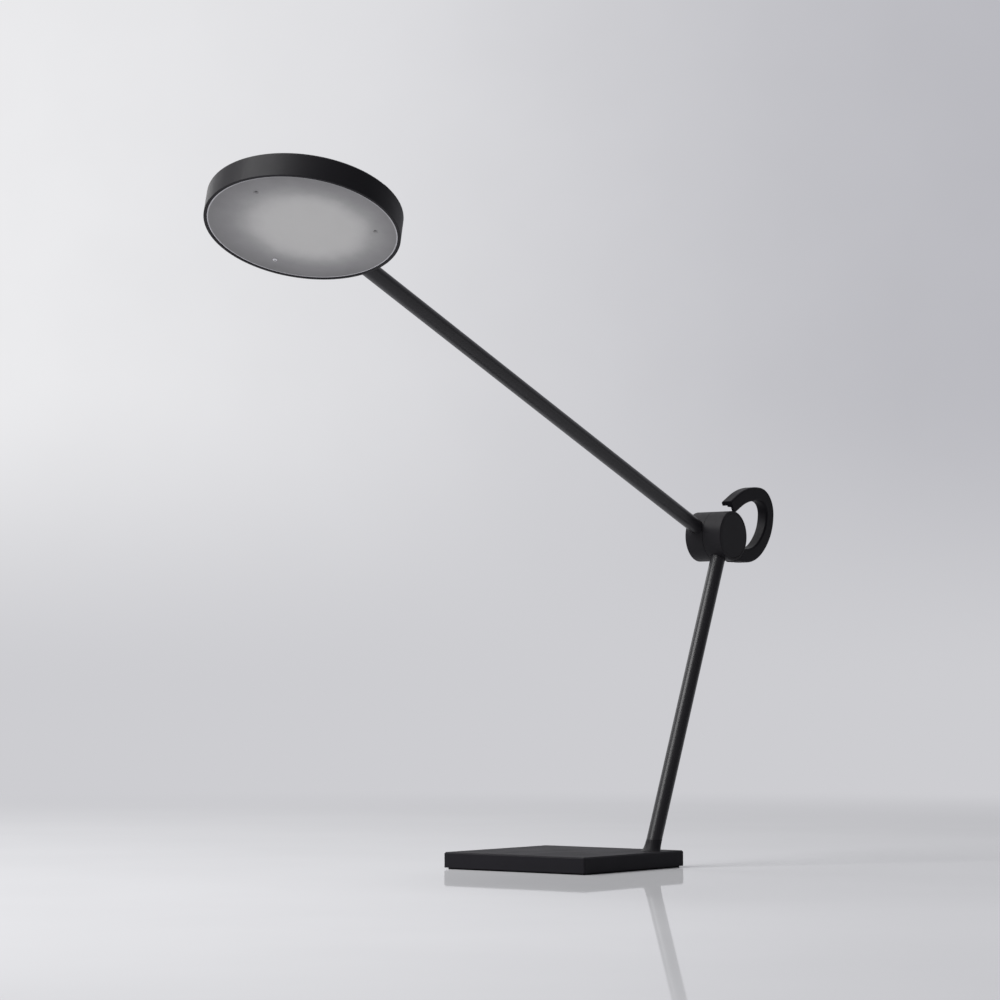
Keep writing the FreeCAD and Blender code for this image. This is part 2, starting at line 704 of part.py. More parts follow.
def balance_spring():
    half_thick = RIBBON_THICK / 2
    outer = spiral_side(half_thick)
    inner = spiral_side(-half_thick)
    first = Part.makeLine(outer[0].Vertexes[0].Point, inner[0].Vertexes[0].Point)
    last = Part.makeLine(outer[-1].Vertexes[-1].Point, inner[-1].Vertexes[-1].Point)
    outline = Part.Wire(Part.__sortEdges__(outer + inner + [first, last]))
    ribbon = moved(Part.Face(outline).extrude(Y * -RIBBON_WIDTH), Y * -RIBBON_FACE)
    low = V(-BOLT_R, -RIBBON_FACE - RIBBON_WIDTH, -RIBBON_THICK)
    high = V(RIBBON_START_R + half_thick, -RIBBON_FACE, 0)
    return at_elbow(ribbon.fuse(block(low, high)).removeSplitter())


# Hoop, drawn in the elbow's frame


def hoop_heading(turned):
    """Direction along the hoop after turning so far from straight back."""
    turn = math.radians(turned)
    return V(-math.cos(turn), 0, math.sin(turn))


def hoop_inward(turned):
    """Direction from the hoop's middle line to the inside of its bends."""
    turn = math.radians(turned)
    return V(math.sin(turn), 0, math.cos(turn))


def hoop_bends():
    """Radius and turn of each bend, from the root to the end."""
    radii = (HOOP_FOOT_R, HOOP_LOWER_R, HOOP_BACK_R, HOOP_UPPER_R, HOOP_TOP_R)
    return list(zip(radii, HOOP_TURNS))


def hoop_side(shift, level):
    """One side of the hoop in the plane y = level, outside its middle line by shift."""
    root_z = -ELBOW_R - HOOP_BELOW + HOOP_THICK / 2
    at = V(-HOOP_BEND_BACK, level, root_z)
    outer = hoop_inward(0) * -shift
    edges = [Part.makeLine(V(-HOOP_ROOT_BACK, level, root_z) + outer, at + outer)]
    turned = 0.0
    for radius, turn in hoop_bends():
        centre = at + hoop_inward(turned) * radius
        angles = (turned, turned + turn / 2, turned + turn)
        points = [centre - hoop_inward(angle) * (radius + shift) for angle in angles]
        edges.append(Part.Arc(*points).toShape())
        turned += turn
        at = centre - hoop_inward(turned) * radius
    start = at - hoop_inward(turned) * shift
    edges.append(Part.makeLine(start, start + hoop_heading(turned) * HOOP_END))
    return edges


def hoop_band():
    """Square band of the hoop with its long edges rounded."""
    far = hoop_far()
    near = far + HOOP_WIDTH
    outer = hoop_side(HOOP_THICK / 2, far)
    inner = hoop_side(-HOOP_THICK / 2, far)
    root = Part.makeLine(outer[0].Vertexes[0].Point, inner[0].Vertexes[0].Point)
    tip = Part.makeLine(outer[-1].Vertexes[-1].Point, inner[-1].Vertexes[-1].Point)
    outline = Part.Wire(Part.__sortEdges__(outer + inner + [root, tip]))
    band = Part.Face(outline).extrude(Y * HOOP_WIDTH)
    ends = [root.CenterOfMass, tip.CenterOfMass]
    long_edges = []
    for edge in edges_at(band, Y, far) + edges_at(band, Y, near):
        middle = V(edge.CenterOfMass.x, far, edge.CenterOfMass.z)
        if min(middle.distanceToPoint(end) for end in ends) > 0.01:
            long_edges.append(edge)
    return band.makeFillet(HOOP_EDGE, long_edges)


def hoop_fork():
    """Open far side of the hoop's end, under its skin."""
    far = hoop_far()
    turned = sum(HOOP_TURNS)
    corner = hoop_side(HOOP_THICK / 2, far)[-1].Vertexes[-1].Point
    ceiling = corner + hoop_inward(turned) * HOOP_SKIN
    level = 180 + HOOP_FORK_SLOPE
    low = V(-HOOP_FORK_LENGTH, -HOOP_EDGE, -2 * HOOP_THICK)
    high = V(HOOP_THICK, HOOP_FORK_WIDTH, 0)
    return placed(block(low, high), ceiling, hoop_heading(level), hoop_inward(level) * -1)


def hoop_notch():
    """Notch in the rest of the end, just above the barrel, with a round inner corner."""
    radius = HOOP_NOTCH_DIA / 2
    top = ELBOW_R + HOOP_NOTCH_TOP
    start = hoop_far() - HOOP_EDGE
    end = hoop_far() + HOOP_WIDTH - HOOP_NOTCH_WALL
    corner = V(-HOOP_NOTCH_BACK + radius, start, top - radius)
    upper = block(V(corner.x, start, 0), V(HOOP_THICK, end, top))
    lower = block(V(-HOOP_NOTCH_BACK, start, 0), V(HOOP_THICK, end, corner.z))
    return upper.fuse([lower, cylinder(HOOP_NOTCH_DIA, corner, Y, end - start)])


def hoop_screw(point, gap):
    """Countersunk screw that goes up through the root into the post half."""
    sink = (HOOP_SCREW_HEAD - HOOP_SCREW_DIA) / 2
    shank = cylinder(HOOP_SCREW_DIA + 2 * gap, point, Z, HOOP_SCREW_LENGTH)
    head = Part.makeCone(HOOP_SCREW_HEAD / 2 + gap, HOOP_SCREW_DIA / 2 + gap, sink, point, Z)
    return shank.fuse(head).removeSplitter()


def grip_hoop():
    hoop = hoop_band().cut(cylinder(ELBOW_DIA + 2 * SEAT_GAP, V(0, 0, 0), Y, FAR))
    hoop = hoop.fuse(tongue(0.0)).removeSplitter()
    hoop = hoop.cut(hoop_fork()).cut(hoop_notch())
    for point in hoop_screw_points():
        hoop = hoop.cut(hoop_screw(point, SEAT_GAP))
    return at_elbow(hoop)


def hoop_screws():
    screws = []
    for point in hoop_screw_points():
        screws.append(hoop_screw(point, 0.0))
    return at_elbow(Part.makeCompound(screws))


# Arm, drawn in the arm's frame


def arm_end():
    """End of the arm tube, just short of the head's rim."""
    return ARM_LENGTH - HEAD_R + HEAD_FLAT - TWIST_GAP


def arm_axis(x):
    return V(x, -TUBE_OFFSET, 0)


def arm_tube():
    length = arm_end() - SOCKET_STOP
    return on_arm(ring(TUBE_OD, 2 * BORE_R, arm_axis(SOCKET_STOP), X, length))


def arm_lead():
    """Lead that lies on the bottom of the arm's bore."""
    drop = Z * (BORE_R - LEAD_DIA / 2 - LEAD_CLEAR)
    length = arm_end() - ARM_PLUG - LEAD_CLEAR - SOCKET_STOP
    return on_arm(cylinder(LEAD_DIA, arm_axis(SOCKET_STOP) - drop, X, length))


def journal_end():
    return ARM_LENGTH - BOSS_END + TWIST_WASHER + TWIST_NUT + JOURNAL_TAIL


def twist_pin_x():
    """Place of the cross pin along the arm, in the slotted end of the bush."""
    return ARM_LENGTH - BOSS_END - TWIST_PIN_CLEAR - TWIST_PIN_DIA / 2


def arm_spigot():
    plug = cylinder(2 * (BORE_R - SEAT_GAP), arm_axis(arm_end() - ARM_PLUG), X, ARM_PLUG)
    journal = cylinder(JOURNAL_DIA, arm_axis(arm_end()), X, journal_end() - arm_end())
    spigot = plug.fuse(journal).removeSplitter()
    spigot = spigot.cut(cylinder(JOURNAL_BORE, arm_axis(0), X, FAR * 2))
    return on_arm(spigot.cut(cylinder(TWIST_PIN_DIA + 2 * SEAT_GAP, arm_axis(twist_pin_x()), Z, TUBE_OD)))


def twist_stop_pin():
    inner = JOURNAL_BORE / 2 + TWIST_PIN_ROOT
    outer = TWIST_BUSH_OD / 2 - TWIST_PIN_CLEAR
    start = arm_axis(twist_pin_x()) + Z * inner
    return on_arm(cylinder(TWIST_PIN_DIA, start, Z, outer - inner))


def twist_washer():
    start = arm_axis(ARM_LENGTH - BOSS_END)
    return on_arm(ring(TWIST_WASHER_DIA, JOURNAL_DIA + 2 * SEAT_GAP, start, X, TWIST_WASHER))


def twist_nut():
    start = arm_axis(ARM_LENGTH - BOSS_END + TWIST_WASHER)
    nut = hexagon(TWIST_NUT_AF, start, X, TWIST_NUT)
    return on_arm(nut.cut(cylinder(JOURNAL_DIA + 2 * SEAT_GAP, start, X, TWIST_NUT)))


# Head, drawn in its own frame with the light shining towards -Z


def head_shell():
    """Drum with its rim lip and the ledge that the diffuser sits on."""
    lip = DIFFUSER_DIA / 2
    ledge = lip - LEDGE_WIDTH
    wall = HEAD_R - HEAD_WALL
    ledge_top = LENS_BACK + LEDGE_THICK
    outline = [
        V(0, 0, HEAD_HALF),
        V(HEAD_R, 0, HEAD_HALF),
        V(HEAD_R, 0, -HEAD_HALF),
        V(lip, 0, -HEAD_HALF),
        V(lip, 0, LENS_BACK),
        V(ledge, 0, LENS_BACK),
        V(ledge, 0, ledge_top),
        V(wall, 0, ledge_top + wall - ledge),
        V(wall, 0, CEILING),
        V(0, 0, CEILING),
        V(0, 0, HEAD_HALF),
    ]
    shell = Part.Face(Part.makePolygon(outline)).revolve(V(0, 0, 0), Z, 360)
    top = edges_at(shell, Z, HEAD_HALF, HEAD_R)
    shell = shell.makeFillet(HEAD_TOP_ROUND, top)
    rim = edges_at(shell, Z, -HEAD_HALF, 2 * HEAD_R)
    return shell.makeFillet(HEAD_RIM_ROUND, rim)


def in_drum(shape):
    """What lies inside the drum's outer wall."""
    return shape.common(cylinder(HEAD_DIA - HEAD_WALL, Z * -HEAD_HALF, Z, HEAD_HEIGHT))


def twist_boss():
    low = V(-HEAD_R, -BOSS_WIDTH / 2, FLANGE_FACE + REFLECTOR_THICK + REFLECTOR_GAP)
    return in_drum(block(low, V(-BOSS_END, BOSS_WIDTH / 2, CEILING + HEAD_TOP / 2)))


def screw_posts():
    posts = []
    for point in ring_points(SCREW_RING_R, SCREW_COUNT, LENS_BACK):
        posts.append(cylinder(POST_DIA, point, Z, CEILING + HEAD_TOP / 2 - LENS_BACK))
    return posts


def on_board(shape):
    """From the driver board's frame: x outwards from the head's centre, y along the board."""
    turn = math.radians(BUTTON_ANGLE)
    outward = V(math.cos(turn), math.sin(turn), 0)
    return placed(shape, outward * BUTTON_RING_R, outward, Z)


def driver_post_points(level):
    return [V(0, side * DRIVER_POST_PITCH / 2, level) for side in (-1, 1)]


def driver_posts():
    posts = []
    for point in driver_post_points(DRIVER_TOP):
        posts.append(on_board(cylinder(DRIVER_POST_DIA, point, Z, CEILING + HEAD_TOP / 2 - DRIVER_TOP)))
    return posts


def head_housing():
    head = head_shell().fuse([twist_boss()] + screw_posts() + driver_posts()).removeSplitter()
    flat = cylinder(BOSS_WIDTH, V(-HEAD_R + HEAD_FLAT, 0, 0), X * -1, HEAD_R)
    head = head.cut(flat)
    head = head.cut(cylinder(TWIST_BUSH_OD + 2 * SEAT_GAP, V(-HEAD_DIA, 0, 0), X, HEAD_DIA - BOSS_END))
    hole = LENS_SCREW_LENGTH - DIFFUSER_THICK + SCREW_HOLE_SPARE
    for point in ring_points(SCREW_RING_R, SCREW_COUNT, LENS_BACK):
        head = head.cut(cylinder(LENS_SCREW_DIA + 2 * SEAT_GAP, point, Z, hole))
    for point in driver_post_points(DRIVER_TOP):
        depth = DRIVER_SCREW_LENGTH + SCREW_HOLE_SPARE
        head = head.cut(on_board(cylinder(DRIVER_SCREW_DIA + 2 * SEAT_GAP, point, Z, depth)))
    return on_head(head.cut(on_board(cylinder(BUTTON_DIA + 2 * BUTTON_GAP, V(0, 0, CEILING), Z, FAR))))


def twist_bush():
    """Bearing for the arm's journal, half cut away at its inner end for the stop pin."""
    length = BOSS_DEPTH - HEAD_FLAT
    start = V(-HEAD_R + HEAD_FLAT, 0, 0)
    bush = ring(TWIST_BUSH_OD, JOURNAL_DIA + 2 * RUNNING_GAP, start, X, length)
    wide = TWIST_PIN_DIA + 2 * TWIST_PIN_CLEAR
    spare = math.degrees(math.asin(wide / JOURNAL_DIA))
    slot_start = V(-BOSS_END - wide, 0, 0)
    first = 90 - TWIST_TRAVEL - spare
    last = 90 + TWIST_TRAVEL + spare
    return on_head(bush.cut(wedge(first, last, slot_start, X, Y, wide)))


def heat_spreader():
    plate = cylinder(SPREADER_DIA, Z * SPREADER_FACE, Z, SPREADER_THICK)
    for point in board_screw_points(SPREADER_FACE):
        plate = plate.cut(cylinder(BOARD_SCREW_DIA + 2 * SEAT_GAP, point, Z, BOARD_SCREW_IN))
    return on_head(plate)


def board_screw_points(level):
    return ring_points(BOARD_SCREW_RING_R, SCREW_COUNT, level, 60.0)


def led_board():
    board = cylinder(LED_BOARD_DIA, Z * LED_BOARD_FACE, Z, BOARD_THICK)
    for point in board_screw_points(LED_BOARD_FACE):
        board = board.cut(cylinder(BOARD_SCREW_DIA + 2 * SEAT_GAP, point, Z, BOARD_THICK))
    return on_head(board)


def leds():
    chips = []
    half = LED_WIDTH / 2
    for radius, count in LED_RINGS:
        for point in ring_points(radius, count, LED_BOARD_FACE - LED_HEIGHT, 180 / count):
            high = point + V(half, half, LED_HEIGHT)
            chips.append(block(point - V(half, half, 0), high))
    return on_head(Part.makeCompound(chips))


def pan_screw(point, shank_dia, shank, head_dia, head_high):
    """Screw that points along +Z, with its head below the point."""
    head = cylinder(head_dia, point - Z * head_high, Z, head_high)
    return head.fuse(cylinder(shank_dia, point, Z, shank)).removeSplitter()


def board_screws():
    screws = []
    for point in board_screw_points(LED_BOARD_FACE):
        length = BOARD_THICK + BOARD_SCREW_IN
        screws.append(pan_screw(point, BOARD_SCREW_DIA, length, BOARD_SCREW_HEAD, BOARD_SCREW_HEAD_HIGH))
    return on_head(Part.makeCompound(screws))


def reflector():
    """White sleeve round the LED board, with a flange behind the outer part of the diffuser."""
    outer = DIFFUSER_DIA - 2 * LEDGE_WIDTH - 4 * REFLECTOR_GAP
    flange = cylinder(outer, Z * FLANGE_FACE, Z, REFLECTOR_THICK)
    sleeve_dia = REFLECTOR_BORE + 2 * REFLECTOR_THICK
    sleeve = cylinder(sleeve_dia, Z * FLANGE_FACE, Z, SPREADER_FACE - FLANGE_FACE)
    body = flange.fuse(sleeve).removeSplitter()
    body = body.cut(cylinder(REFLECTOR_BORE, Z * FLANGE_FACE, Z, HEAD_HEIGHT))
    for point in ring_points(SCREW_RING_R, SCREW_COUNT, FLANGE_FACE):
        body = body.cut(cylinder(POST_DIA + 2 * REFLECTOR_POST_GAP, point, Z, REFLECTOR_THICK))
    return on_head(body)


def lens_screw(point, gap):
    """Countersunk screw, its head flush with the diffuser's face."""
    shank = cylinder(LENS_SCREW_DIA + 2 * gap, point, Z, LENS_SCREW_LENGTH)
    head = Part.makeCone(LENS_SCREW_HEAD / 2 + gap, LENS_SCREW_DIA / 2 + gap, LENS_SCREW_SINK, point, Z)
    return shank.fuse(head).removeSplitter()


def diffuser():
    lens = cylinder(DIFFUSER_DIA - 2 * DIFFUSER_GAP, Z * LENS_FACE, Z, DIFFUSER_THICK)
    for point in ring_points(SCREW_RING_R, SCREW_COUNT, LENS_FACE):
        lens = lens.cut(lens_screw(point, SEAT_GAP))
    return on_head(lens)


def diffuser_screws():
    screws = []
    for point in ring_points(SCREW_RING_R, SCREW_COUNT, LENS_FACE):
        screws.append(lens_screw(point, 0.0))
    return on_head(Part.makeCompound(screws))


# Switch and driver board


def driver_board():
    low = V(-DRIVER_WIDTH / 2, -DRIVER_LENGTH / 2, DRIVER_FACE)
    board = block(low, V(DRIVER_WIDTH / 2, DRIVER_LENGTH / 2, DRIVER_TOP))
    for point in driver_post_points(DRIVER_FACE):
        board = board.cut(cylinder(DRIVER_SCREW_DIA + 2 * SEAT_GAP, point, Z, DRIVER_THICK))
    return on_head(on_board(board))


def driver_screws():
    screws = []
    for point in driver_post_points(DRIVER_FACE):
        screw = pan_screw(point, DRIVER_SCREW_DIA, DRIVER_SCREW_LENGTH, DRIVER_SCREW_HEAD, DRIVER_SCREW_HEAD_HIGH)
        screws.append(on_board(screw))
    return on_head(Part.makeCompound(screws))


def driver_parts():
    """Coil, capacitor and terminal block on the underside of the board."""
    coil = cylinder(COIL_DIA, V(0, -PART_ROW / 2, DRIVER_FACE), Z * -1, COIL_HIGH)
    capacitor = cylinder(CAPACITOR_DIA, V(PART_ROW, PART_ROW, DRIVER_FACE), Z * -1, CAPACITOR_HIGH)
    wide, long, high = TERMINAL_SIZE
    low = V(-PART_ROW - wide / 2, PART_ROW - long / 2, DRIVER_FACE - high)
    terminal = block(low, V(-PART_ROW + wide / 2, PART_ROW + long / 2, DRIVER_FACE))
    return on_head(on_board(Part.makeCompound([coil, capacitor, terminal])))


def switch_body():
    half = SWITCH_WIDTH / 2
    body = block(V(-half, -half, DRIVER_TOP), V(half, half, SWITCH_TOP))
    depth = STEM_LENGTH - (BUTTON_FLANGE_FACE - SWITCH_TOP) + BUTTON_TRAVEL + STEM_GAP
    stem_hole = cylinder(STEM_DIA + 2 * STEM_GAP, V(0, 0, SWITCH_TOP), Z * -1, depth)
    return on_head(on_board(body.cut(stem_hole)))


def power_button():
    top = HEAD_HALF + BUTTON_PROUD
    cap = cylinder(BUTTON_DIA, Z * BUTTON_FLANGE_FACE, Z, top - BUTTON_FLANGE_FACE)
    cap = cap.makeFillet(BUTTON_EDGE, edges_at(cap, Z, top))
    flange = cylinder(BUTTON_FLANGE_DIA, Z * BUTTON_FLANGE_FACE, Z, BUTTON_FLANGE)
    stem = cylinder(STEM_DIA, Z * BUTTON_FLANGE_FACE, Z * -1, STEM_LENGTH)
    return on_head(on_board(cap.fuse([flange, stem]).removeSplitter()))


PARTS = {
    "base_plate": base_plate,
    "base_pad": base_pad,
    "power_socket": power_socket,
    "socket_pin": socket_pin,
    "base_lead": base_lead,
    "swivel_bush": swivel_bush,
    "swivel_stop_pin": swivel_stop_pin,
    "swivel_foot": swivel_foot,
    "swivel_washer": swivel_washer,
    "swivel_nut": swivel_nut,
    "post_tube": post_tube,
    "post_lead": post_lead,
    "elbow_post_half": elbow_post_half,
    "elbow_near_cap": lambda: at_elbow(elbow_cap(1, POST_HALF)),
    "post_grub_screw": lambda: at_elbow(grub_screw(1, POST_HALF, POST_UP * -1)),
    "elbow_bolt": elbow_bolt,
    "disc_springs": disc_springs,
    "elbow_nut": elbow_nut,
    "balance_spring": balance_spring,
    "elbow_stop_pin": elbow_stop_pin,
    "grip_hoop": grip_hoop,
    "hoop_screws": hoop_screws,
    "elbow_arm_half": elbow_arm_half,
    "elbow_far_cap": lambda: on_arm(elbow_cap(-1, ARM_HALF)),
    "arm_grub_screw": lambda: on_arm(grub_screw(-1, ARM_HALF, X)),
    "friction_disc": friction_disc,
    "elbow_bush": elbow_bush,
    "arm_tube": arm_tube,
    "arm_lead": arm_lead,
    "arm_spigot": arm_spigot,
    "twist_stop_pin": twist_stop_pin,
    "twist_washer": twist_washer,
    "twist_nut": twist_nut,
    "head_housing": head_housing,
    "twist_bush": twist_bush,
    "heat_spreader": heat_spreader,
    "led_board": led_board,
    "leds": leds,
    "board_screws": board_screws,
    "reflector": reflector,
    "diffuser": diffuser,
    "diffuser_screws": diffuser_screws,
    "driver_board": driver_board,
    "driver_parts": driver_parts,
    "driver_screws": driver_screws,
    "switch_body": switch_body,
    "power_button": power_button,
}


def main():
    os.makedirs("parts", exist_ok=True)
    for name, make in PARTS.items():
        shape = make()
        solids = len(shape.Solids)
        print(f"{name:18s} solids {solids:2d}  valid {shape.isValid()}  volume {shape.Volume / 1000:9.3f} cm3")
        shape.exportStep(f"parts/{name}.step")


main()
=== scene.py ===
import json
import math

import bmesh
import bpy
from mathutils import Matrix, Vector


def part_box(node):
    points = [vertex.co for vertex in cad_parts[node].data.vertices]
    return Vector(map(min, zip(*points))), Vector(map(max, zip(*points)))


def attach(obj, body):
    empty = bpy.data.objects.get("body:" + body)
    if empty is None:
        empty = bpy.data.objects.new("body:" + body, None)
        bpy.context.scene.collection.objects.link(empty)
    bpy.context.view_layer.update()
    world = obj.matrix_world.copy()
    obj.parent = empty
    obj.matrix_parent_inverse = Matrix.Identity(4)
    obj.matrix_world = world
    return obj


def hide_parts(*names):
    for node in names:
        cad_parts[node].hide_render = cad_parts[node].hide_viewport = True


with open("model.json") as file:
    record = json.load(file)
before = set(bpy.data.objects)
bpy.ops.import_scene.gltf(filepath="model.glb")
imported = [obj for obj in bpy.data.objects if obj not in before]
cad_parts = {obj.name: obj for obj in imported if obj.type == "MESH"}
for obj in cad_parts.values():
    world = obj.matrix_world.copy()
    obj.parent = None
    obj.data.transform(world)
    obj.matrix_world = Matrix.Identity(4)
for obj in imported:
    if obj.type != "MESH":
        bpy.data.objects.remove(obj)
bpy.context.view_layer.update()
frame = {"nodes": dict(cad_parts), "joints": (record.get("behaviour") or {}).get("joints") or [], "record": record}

nodes = frame["nodes"]
joints = {joint["name"]: joint for joint in frame["joints"]}

MM = 0.001
HEAD = Vector(joints["head_twist"]["pos_m"])
ARM_AXIS = Vector(joints["head_twist"]["axis"]).normalized()
LIGHT_AXIS = Vector(joints["button_press"]["axis"]).normalized()


def axes_matrix(origin, x_axis, z_axis):
    """Matrix from a frame with the given x and z axes to the lamp's own."""
    x_axis = x_axis.normalized()
    z_axis = z_axis.normalized()
    y_axis = z_axis.cross(x_axis)
    turn = Matrix((x_axis, y_axis, z_axis)).transposed()
    return Matrix.Translation(origin) @ turn.to_4x4()


HEAD_FRAME = axes_matrix(HEAD, ARM_AXIS, -LIGHT_AXIS)


def srgb(red, green, blue):
    """Linear colour from the 0 to 255 values that a screen shows."""
    colour = []
    for value in (red, green, blue):
        share = value / 255
        colour.append(share / 12.92 if share <= 0.04045 else ((share + 0.055) / 1.055) ** 2.4)
    return (*colour, 1.0)


# Surface effects, each built once as a node group

DUST_COLOUR = srgb(168, 165, 160)


def new_group(name, inputs, outputs):
    tree = bpy.data.node_groups.new(name, "ShaderNodeTree")
    for label, kind, value in inputs:
        socket = tree.interface.new_socket(label, in_out="INPUT", socket_type="NodeSocket" + kind)
        socket.default_value = value
    for label, kind in outputs:
        tree.interface.new_socket(label, in_out="OUTPUT", socket_type="NodeSocket" + kind)
    return tree, tree.nodes.new("NodeGroupInput"), tree.nodes.new("NodeGroupOutput")


def noise(tree, vector, scale, detail=3.0, roughness=0.5):
    node = tree.nodes.new("ShaderNodeTexNoise")
    node.inputs["Detail"].default_value = detail
    node.inputs["Roughness"].default_value = roughness
    tree.links.new(vector, node.inputs["Vector"])
    if isinstance(scale, (int, float)):
        node.inputs["Scale"].default_value = scale
    else:
        tree.links.new(scale, node.inputs["Scale"])
    return node.outputs["Fac"]


def math_node(tree, operation, first, second=0.0, clamp=False):
    node = tree.nodes.new("ShaderNodeMath")
    node.operation = operation
    node.use_clamp = clamp
    for socket, value in zip(node.inputs, (first, second)):
        if isinstance(value, (int, float)):
            socket.default_value = value
        else:
            tree.links.new(value, socket)
    return node.outputs["Value"]


def spread(tree, value, low, high, to_low, to_high):
    """Map a value from one range to another, clamped."""
    node = tree.nodes.new("ShaderNodeMapRange")
    for label, amount in (("From Min", low), ("From Max", high), ("To Min", to_low), ("To Max", to_high)):
        if isinstance(amount, (int, float)):
            node.inputs[label].default_value = amount
        else:
            tree.links.new(amount, node.inputs[label])
    tree.links.new(value, node.inputs["Value"])
    return node.outputs["Result"]


def mix(tree, factor, first, second, blend="MIX"):
    node = tree.nodes.new("ShaderNodeMix")
    node.data_type = "RGBA"
    node.blend_type = blend
    for index, value in ((0, factor), (6, first), (7, second)):
        if isinstance(value, (int, float, tuple)):
            node.inputs[index].default_value = value
        else:
            tree.links.new(value, node.inputs[index])
    return node.outputs[2]


def object_place(tree):
    return tree.nodes.new("ShaderNodeTexCoord").outputs["Object"]


def shade_by(tree, colour, amount):
    """Colour made darker or lighter by a value round 1."""
    scale = tree.nodes.new("ShaderNodeVectorMath")
    scale.operation = "SCALE"
    tree.links.new(colour, scale.inputs[0])
    tree.links.new(amount, scale.inputs["Scale"])
    return scale.outputs["Vector"]


def build_coat_group():
    """Matt coat: fine orange-peel grain, cloudy tone and faint wiped smudges."""
    tree, get, put = new_group(
        "matt_coat",
        [
            ("Colour", "Color", (0.1, 0.1, 0.1, 1)), ("Grain", "Float", 1400.0), ("Cloud", "Float", 0.1),
            ("Roughness", "Float", 0.45), ("Smudge", "Float", 0.1),
        ],
        [("Colour", "Color"), ("Roughness", "Float"), ("Height", "Float")],
    )
    place = object_place(tree)
    fine = noise(tree, place, get.outputs["Grain"], 2.0)
    cloud = noise(tree, place, 28.0, 4.0, 0.6)
    half_cloud = math_node(tree, "MULTIPLY", get.outputs["Cloud"], 0.5)
    low = math_node(tree, "SUBTRACT", 1.0, half_cloud)
    high = math_node(tree, "ADD", 1.0, half_cloud)
    tone = spread(tree, cloud, 0.3, 0.7, low, high)
    speck = spread(tree, fine, 0.35, 0.65, 0.94, 1.06)
    tone = math_node(tree, "MULTIPLY", tone, speck)
    tree.links.new(shade_by(tree, get.outputs["Colour"], tone), put.inputs["Colour"])
    wipe = tree.nodes.new("ShaderNodeMapping")
    wipe.inputs["Scale"].default_value = (1.0, 2.6, 0.8)
    wipe.inputs["Rotation"].default_value = (0.4, 0.2, 0.7)
    tree.links.new(place, wipe.inputs["Vector"])
    smear = noise(tree, wipe.outputs["Vector"], 14.0, 5.0, 0.62)
    smear = spread(tree, smear, 0.35, 0.7, -0.5, 0.5)
    smear = math_node(tree, "MULTIPLY", smear, get.outputs["Smudge"])
    rough = math_node(tree, "ADD", get.outputs["Roughness"], smear)
    grain_rough = spread(tree, fine, 0.3, 0.7, -0.04, 0.04)
    tree.links.new(math_node(tree, "ADD", rough, grain_rough), put.inputs["Roughness"])
    tree.links.new(fine, put.inputs["Height"])
    return tree


def build_dust_group():
    """Thin dust that settles on what faces up when the lamp stands at rest."""
    tree, get, put = new_group(
        "settled_dust",
        [("Colour", "Color", (0.1, 0.1, 0.1, 1)), ("Amount", "Float", 0.05)],
        [("Colour", "Color")],
    )
    coordinates = tree.nodes.new("ShaderNodeTexCoord")
    split = tree.nodes.new("ShaderNodeSeparateXYZ")
    tree.links.new(coordinates.outputs["Normal"], split.inputs["Vector"])
    facing = spread(tree, split.outputs["Z"], 0.35, 0.95, 0.0, 1.0)
    clump = noise(tree, coordinates.outputs["Object"], 160.0, 6.0, 0.7)
    clump = spread(tree, clump, 0.38, 0.72, 0.25, 1.0)
    cover = math_node(tree, "MULTIPLY", facing, clump)
    cover = math_node(tree, "MULTIPLY", cover, get.outputs["Amount"], clamp=True)
    tree.links.new(mix(tree, cover, get.outputs["Colour"], DUST_COLOUR), put.inputs["Colour"])
    return tree


def build_turned_group():
    """Fine lines left by a lathe tool, as rings about an axis through a point."""
    tree, get, put = new_group(
        "turned_lines",
        [
            ("Colour", "Color", (0.5, 0.5, 0.5, 1)), ("Lines", "Float", 900.0), ("Contrast", "Float", 0.2),
            ("Roughness", "Float", 0.3),
        ],
        [("Colour", "Color"), ("Roughness", "Float"), ("Height", "Float")],
    )
    place = object_place(tree)
    stretch = tree.nodes.new("ShaderNodeMapping")
    stretch.inputs["Scale"].default_value = (1.0, 0.06, 1.0)
    tree.links.new(place, stretch.inputs["Vector"])
    line = noise(tree, stretch.outputs["Vector"], get.outputs["Lines"], 3.0, 0.6)
    half = math_node(tree, "MULTIPLY", get.outputs["Contrast"], 0.5)
    low = math_node(tree, "SUBTRACT", 1.0, half)
    high = math_node(tree, "ADD", 1.0, half)
    tone = spread(tree, line, 0.3, 0.7, low, high)
    tree.links.new(shade_by(tree, get.outputs["Colour"], tone), put.inputs["Colour"])
    rough = spread(tree, line, 0.3, 0.7, -0.08, 0.08)
    tree.links.new(math_node(tree, "ADD", get.outputs["Roughness"], rough), put.inputs["Roughness"])
    tree.links.new(line, put.inputs["Height"])
    return tree


COAT = build_coat_group()
DUST = build_dust_group()
TURNED = build_turned_group()

GRAIN_DEPTH = 0.00006  # height of a coat's orange peel in metres
TOOL_DEPTH = 0.00004
FROST_DEPTH = 0.00003

LENS_HIGHLIGHT_IN = 0.0874  # painted highlight along the diffuser's edge, as radii in metres
LENS_HIGHLIGHT_OUT = 0.0882
# colour of the painted highlight along the diffuser's edge
LENS_EDGE_HIGHLIGHT = srgb(205, 204, 208)
PAINTED_LIGHT_POOL_R = 0.09
PAINTED_LIGHT_POOL_SHIFT = Vector((-0.0018, 0.0063, 0.0009))  # painted light: the pool of light from the light chamber sits a little off the middle
PAINTED_LIGHT_POOL = (  # painted light and shade on the frosted sheet, as tones from its middle outwards
    (0.0, srgb(202, 201, 199)), (0.46, srgb(201, 200, 198)), (0.58, srgb(190, 189, 188)),
    (0.68, srgb(163, 162, 162)), (0.8, srgb(147, 146, 147)), (1.0, srgb(124, 123, 124)),
)


def place_group(tree, group, **values):
    node = tree.nodes.new("ShaderNodeGroup")
    node.node_tree = group
    for label, value in values.items():
        node.inputs[label].default_value = value
    return node


